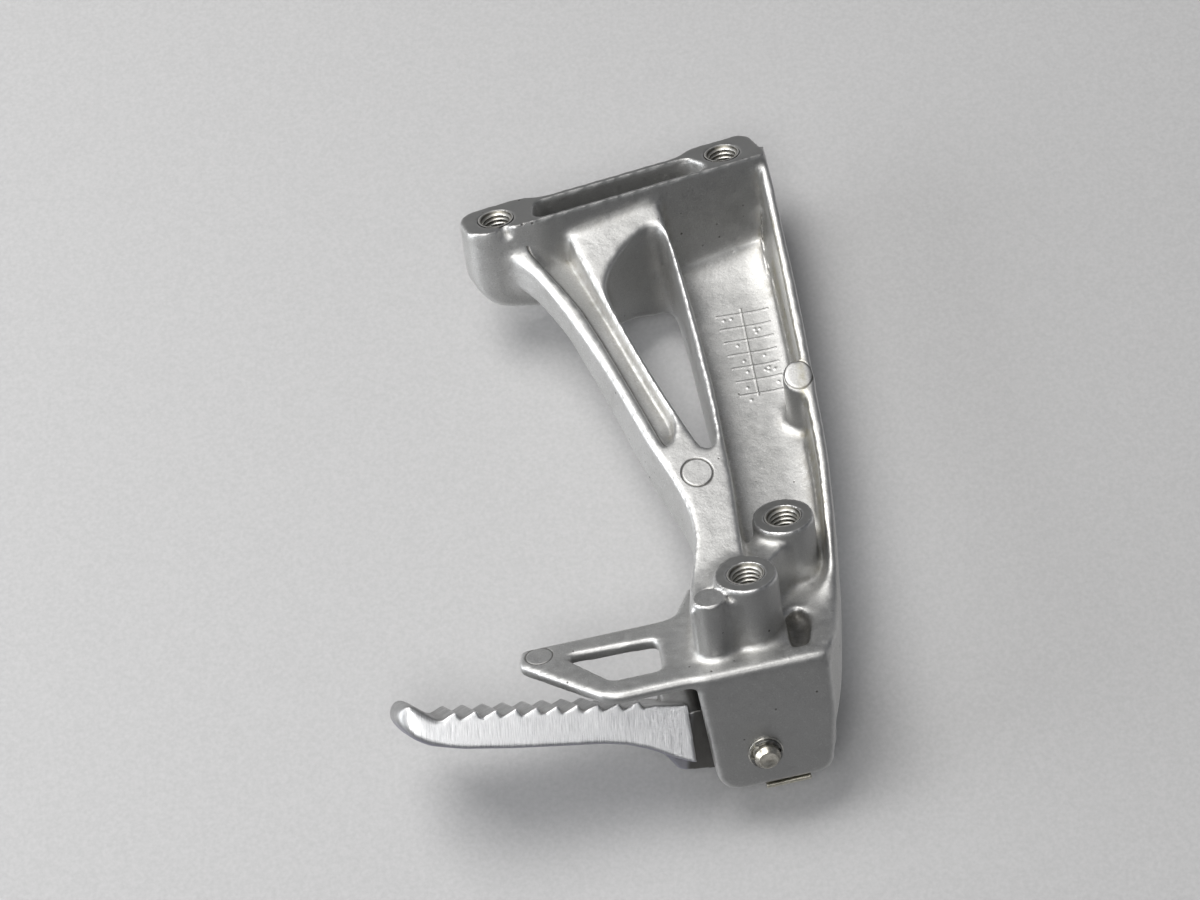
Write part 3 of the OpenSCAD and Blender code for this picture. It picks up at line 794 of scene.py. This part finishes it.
def cast_material():
    k = Nodes("cast_aluminium")
    mm = k.attr("mm")
    edge, hollow, milled, mark, silt, dull = (k.attr(a) for a in ("edge", "hollow", "milled", "mark", "silt", "dull"))
    cloud = k.noise(k.scale(mm, (1, 1, 1)), 0.05, 4, 0.55)
    mottle = k.noise(mm, 0.45, 4, 0.6)
    grain = k.noise(mm, 2.6, 3, 0.6)
    base = k.mix(k.remap(cloud, 0.35, 0.65), (0.52, 0.52, 0.51), (0.60, 0.60, 0.595))
    base = k.mix(k.remap(mottle, 0.35, 0.7, 0, 0.35), base, (0.66, 0.66, 0.655))
    base = k.mix(k.remap(grain, 0.50, 0.68, 0, 0.42), base, (0.33, 0.33, 0.325))
    base = k.mix(k.remap(k.noise(mm, 1.9, 2, 0.5), 0.60, 0.72, 0, 0.5), base, (0.80, 0.80, 0.80))
    # painted shade: walls facing -y, flat tops and boss side walls darkened by the way they face
    base = k.mix(k.math("MULTIPLY", dull, k.remap(cloud, 0.3, 0.7, 0.85, 1.0)), base, (0.20, 0.20, 0.20))
    # brownish dirt in hollows
    dirt = k.math("MULTIPLY", k.remap(hollow, 0.05, 0.55), k.remap(k.noise(mm, 0.35, 4, 0.65), 0.35, 0.62), clamp=True)
    base = k.mix(k.math("MULTIPLY", dirt, 0.62), base, (0.20, 0.18, 0.13))
    # bright rubbed edges
    rub = k.math("MULTIPLY", k.remap(edge, 0.10, 0.55), k.remap(k.noise(mm, 0.8, 3, 0.6), 0.25, 0.6, 0.45, 1.0), clamp=True)
    base = k.mix(k.math("MULTIPLY", rub, 0.75), base, (0.83, 0.83, 0.83))
    # milled faces are darker
    base = k.mix(k.math("MULTIPLY", milled, k.math("SUBTRACT", 1.0, k.math("MULTIPLY", rub, 0.8))), base, (0.33, 0.33, 0.325))
    # painted shade: darkens the grooves, the core pocket and the low corner between the bosses
    base = k.mix(k.math("MULTIPLY", mark, k.remap(mottle, 0.3, 0.6, 0.95, 0.70)), base, (0.10, 0.095, 0.085))
    silty = k.math("MULTIPLY", silt, k.remap(k.noise(mm, 0.5, 4, 0.65), 0.35, 0.6, 0.1, 1.0), clamp=True)
    base = k.mix(k.math("MULTIPLY", silty, 0.55), base, (0.40, 0.37, 0.25))
    # pits and scuffs
    pit = k.t.nodes.new("ShaderNodeTexVoronoi")
    k.t.links.new(mm, pit.inputs["Vector"])
    pit.inputs["Scale"].default_value = 0.22
    pits = k.math("MULTIPLY", k.remap(pit.outputs["Distance"], 0.045, 0.085, 1, 0), k.remap(k.noise(mm, 0.12, 2), 0.48, 0.56), clamp=True)
    base = k.mix(k.math("MULTIPLY", pits, 0.8), base, (0.05, 0.045, 0.04))
    k.t.links.new(base, k.b.inputs["Base Color"])
    k.b.inputs["Metallic"].default_value = 1.0
    rough = k.remap(mottle, 0.3, 0.7, 0.44, 0.54)
    rough = k.math("SUBTRACT", rough, k.math("MULTIPLY", rub, 0.12))
    rough = k.math("ADD", rough, k.math("MULTIPLY", dirt, 0.25), clamp=True)
    k.t.links.new(rough, k.b.inputs["Roughness"])
    nrm = k.bump(k.noise(mm, 0.16, 3, 0.5), 0.30, 0.0006)
    nrm = k.bump(k.noise(mm, 1.5, 4, 0.6), 0.30, 0.00012, nrm)
    nrm = k.bump(k.noise(mm, 4.0, 2, 0.5), 0.40, 0.00005, nrm)
    nrm = k.bump(k.math("MULTIPLY", pits, -1.0), 0.5, 0.00015, nrm)
    k.t.links.new(nrm, k.b.inputs["Normal"])
    return k.m


def thread_material():
    k = Nodes("cut_thread")
    mm, crest_light_root_shade = k.attr("mm"), k.attr("edge")
    n1 = k.noise(mm, 0.6, 3)
    # thread roots painted dark as shade, crests and the countersink lip painted light as highlight
    base = k.mix(k.remap(crest_light_root_shade, 0.25, 0.95), (0.13, 0.125, 0.11), (0.80, 0.79, 0.76))
    base = k.mix(k.remap(n1, 0.45, 0.7, 0, 0.4), base, (0.34, 0.32, 0.27))
    k.t.links.new(base, k.b.inputs["Base Color"])
    k.b.inputs["Metallic"].default_value = 1.0
    k.t.links.new(k.remap(k.noise(mm, 1.2, 2), 0.3, 0.7, 0.36, 0.48), k.b.inputs["Roughness"])
    k.t.links.new(k.bump(n1, 0.2, 0.00005), k.b.inputs["Normal"])
    return k.m


def peg_material():
    k = Nodes("ground_aluminium")
    c = k.attr("trn")
    edge, hollow, ground, lower, lug = (k.attr(a) for a in ("edge", "hollow", "ground", "lower", "lug"))
    lines = k.noise(k.scale(c, (9.0, 0.5, 0.20)), 1.0, 3, 0.75)
    lines2 = k.noise(k.scale(c, (1.6, 0.4, 0.10), (3, 7, 1)), 1.0, 2, 0.5)
    mottle = k.noise(c, 0.25, 3, 0.6)
    grain = k.noise(c, 3.0, 3, 0.6)
    bright = k.mix(k.remap(lines, 0.34, 0.66), (0.40, 0.405, 0.42), (0.90, 0.905, 0.915))
    bright = k.mix(k.remap(lines2, 0.45, 0.7, 0, 0.3), bright, (0.62, 0.62, 0.63))
    cast = k.mix(k.remap(mottle, 0.35, 0.65), (0.34, 0.34, 0.34), (0.46, 0.46, 0.46))
    cast = k.mix(k.remap(grain, 0.50, 0.72, 0, 0.4), cast, (0.24, 0.24, 0.24))
    base = k.mix(ground, cast, bright)
    base = k.mix(k.remap(edge, 0.10, 0.5, 0, 0.85), base, (0.88, 0.88, 0.89))
    # painted shade on the down-facing faces of the peg
    base = k.mix(k.math("MULTIPLY", lower, 0.75), base, (0.31, 0.31, 0.38))
    dirt = k.math("MULTIPLY", k.remap(hollow, 0.02, 0.4), k.remap(k.noise(c, 0.5, 4, 0.65), 0.25, 0.6), clamp=True)
    base = k.mix(k.math("MULTIPLY", dirt, 0.8), base, (0.10, 0.095, 0.08))
    # painted shadow on the lug between the clevis ears
    base = k.mix(k.math("MULTIPLY", lug, 0.86), base, (0.085, 0.082, 0.075))
    k.t.links.new(base, k.b.inputs["Base Color"])
    k.b.inputs["Metallic"].default_value = 1.0
    rough = k.math("ADD", k.remap(lines2, 0.3, 0.7, 0.32, 0.42), k.remap(ground, 0, 1, 0.12, 0.0))
    k.t.links.new(rough, k.b.inputs["Roughness"])
    nrm = k.bump(lines, 0.45, 0.00006)
    nrm = k.bump(k.noise(c, 1.6, 4), 0.16, 0.0001, nrm)
    k.t.links.new(nrm, k.b.inputs["Normal"])
    return k.m


def steel(name, dark, lightc, rough, ring_scale=(1, 6, 1), dirt_col=(0.12, 0.09, 0.06), bump=0.00004):
    k = Nodes(name)
    mm = k.attr("mm")
    a = k.noise(mm, 0.9, 4, 0.6)
    b = k.noise(k.scale(mm, ring_scale), 2.0, 3, 0.6)
    base = k.mix(k.remap(a, 0.35, 0.65), dark, lightc)
    base = k.mix(k.remap(k.noise(mm, 1.7, 4, 0.7), 0.56, 0.72, 0, 0.6), base, dirt_col)
    k.t.links.new(base, k.b.inputs["Base Color"])
    k.b.inputs["Metallic"].default_value = 1.0
    k.t.links.new(k.remap(b, 0.3, 0.7, rough[0], rough[1]), k.b.inputs["Roughness"])
    k.t.links.new(k.bump(b, 0.3, bump), k.b.inputs["Normal"])
    return k.m


def give(ob, mat):
    ob.data.materials.clear()
    ob.data.materials.append(mat)


give(casting, cast_material())
tm = thread_material()
for o in threads:
    give(o, tm)
give(peg, peg_material())
give(pin, steel("pin_zinc", (0.40, 0.38, 0.33), (0.62, 0.60, 0.54), (0.28, 0.42)))
give(washer, steel("washer_zinc", (0.52, 0.51, 0.47), (0.72, 0.71, 0.67), (0.25, 0.40)))
give(clip, steel("clip_phosphate", (0.10, 0.10, 0.10), (0.26, 0.26, 0.25), (0.35, 0.5)))
give(plate, steel("plate_zinc", (0.42, 0.40, 0.34), (0.60, 0.58, 0.50), (0.28, 0.42)))
give(ball, steel("ball_bright", (0.62, 0.62, 0.63), (0.78, 0.78, 0.80), (0.08, 0.16)))
give(spring, steel("spring_wire", (0.34, 0.34, 0.34), (0.55, 0.55, 0.55), (0.25, 0.4)))

# ---------------------------------------------------------------- floor, light, camera
floor_z = cad_lo[2] - 0.00005
me = bpy.data.meshes.new("floor")
s = 3.0
me.from_pydata([(-s, -s, floor_z), (s, -s, floor_z), (s, s, floor_z), (-s, s, floor_z)], [], [(0, 1, 2, 3)])
floor = new_object("floor", me)
k = Nodes("pale_floor")
gco = k.t.nodes.new("ShaderNodeNewGeometry").outputs["Position"]
fine_n = k.noise(gco, 900.0, 3, 0.6)
k.t.links.new(k.mix(k.remap(fine_n, 0.3, 0.7, 0, 1), (0.38, 0.38, 0.385), (0.43, 0.43, 0.435)), k.b.inputs["Base Color"])
k.b.inputs["Roughness"].default_value = 0.7
give(floor, k.m)

world = bpy.data.worlds.new("studio")
scene.world = world
world.use_nodes = True
world.node_tree.nodes["Background"].inputs[0].default_value = (0.90, 0.93, 1.0, 1)
world.node_tree.nodes["Background"].inputs[1].default_value = 0.14


def area(name, loc, target, size, energy, color=(1, 1, 1), size_y=None):
    ld = bpy.data.lights.new(name, "AREA")
    ld.shape = "RECTANGLE"
    ld.size = size
    ld.size_y = size_y or size
    ld.energy = energy
    ld.color = color
    ob = bpy.data.objects.new(name, ld)
    scene.collection.objects.link(ob)
    ob.location = loc
    d = Vector(target) - Vector(loc)
    ob.rotation_euler = d.to_track_quat("-Z", "Y").to_euler()
    return ob


area("key", (-0.45, 0.55, 1.25), (0, 0.05, -0.03), 0.8, 19, (1.0, 0.985, 0.96))
area("front", (-0.25, -0.55, 1.05), (0, 0.05, -0.03), 0.5, 6.6, (1.0, 0.99, 0.97))
area("left", (-0.95, 0.10, 0.22), (0, 0.05, -0.03), 0.6, 6.5, (0.96, 0.98, 1.0))

R_LOCAL = np.array([[0.9752, -0.1781, -0.1317], [-0.2055, -0.505, -0.8383], [0.0828, 0.8445, -0.5291]])
C_LOCAL = np.array([-91.9, -629.9, 437.5])
rows = [Vector(to_world(x) / MM).normalized() for x in R_LOCAL]
cd = bpy.data.cameras.new("camera")
cd.lens = 96
cd.sensor_width = 36
cd.clip_start = 0.01
cam = bpy.data.objects.new("camera", cd)
scene.collection.objects.link(cam)
right, down, fwd = rows
up_v = right.cross(fwd)
fwd = fwd.normalized()
right = fwd.cross(up_v).normalized()
up_v = right.cross(fwd).normalized()
m3 = Matrix((right, up_v, -fwd)).transposed()
cam.matrix_world = Matrix.Translation(Vector(to_world(C_LOCAL))) @ m3.to_4x4()
scene.camera = cam
scene.view_settings.view_transform = "Standard"
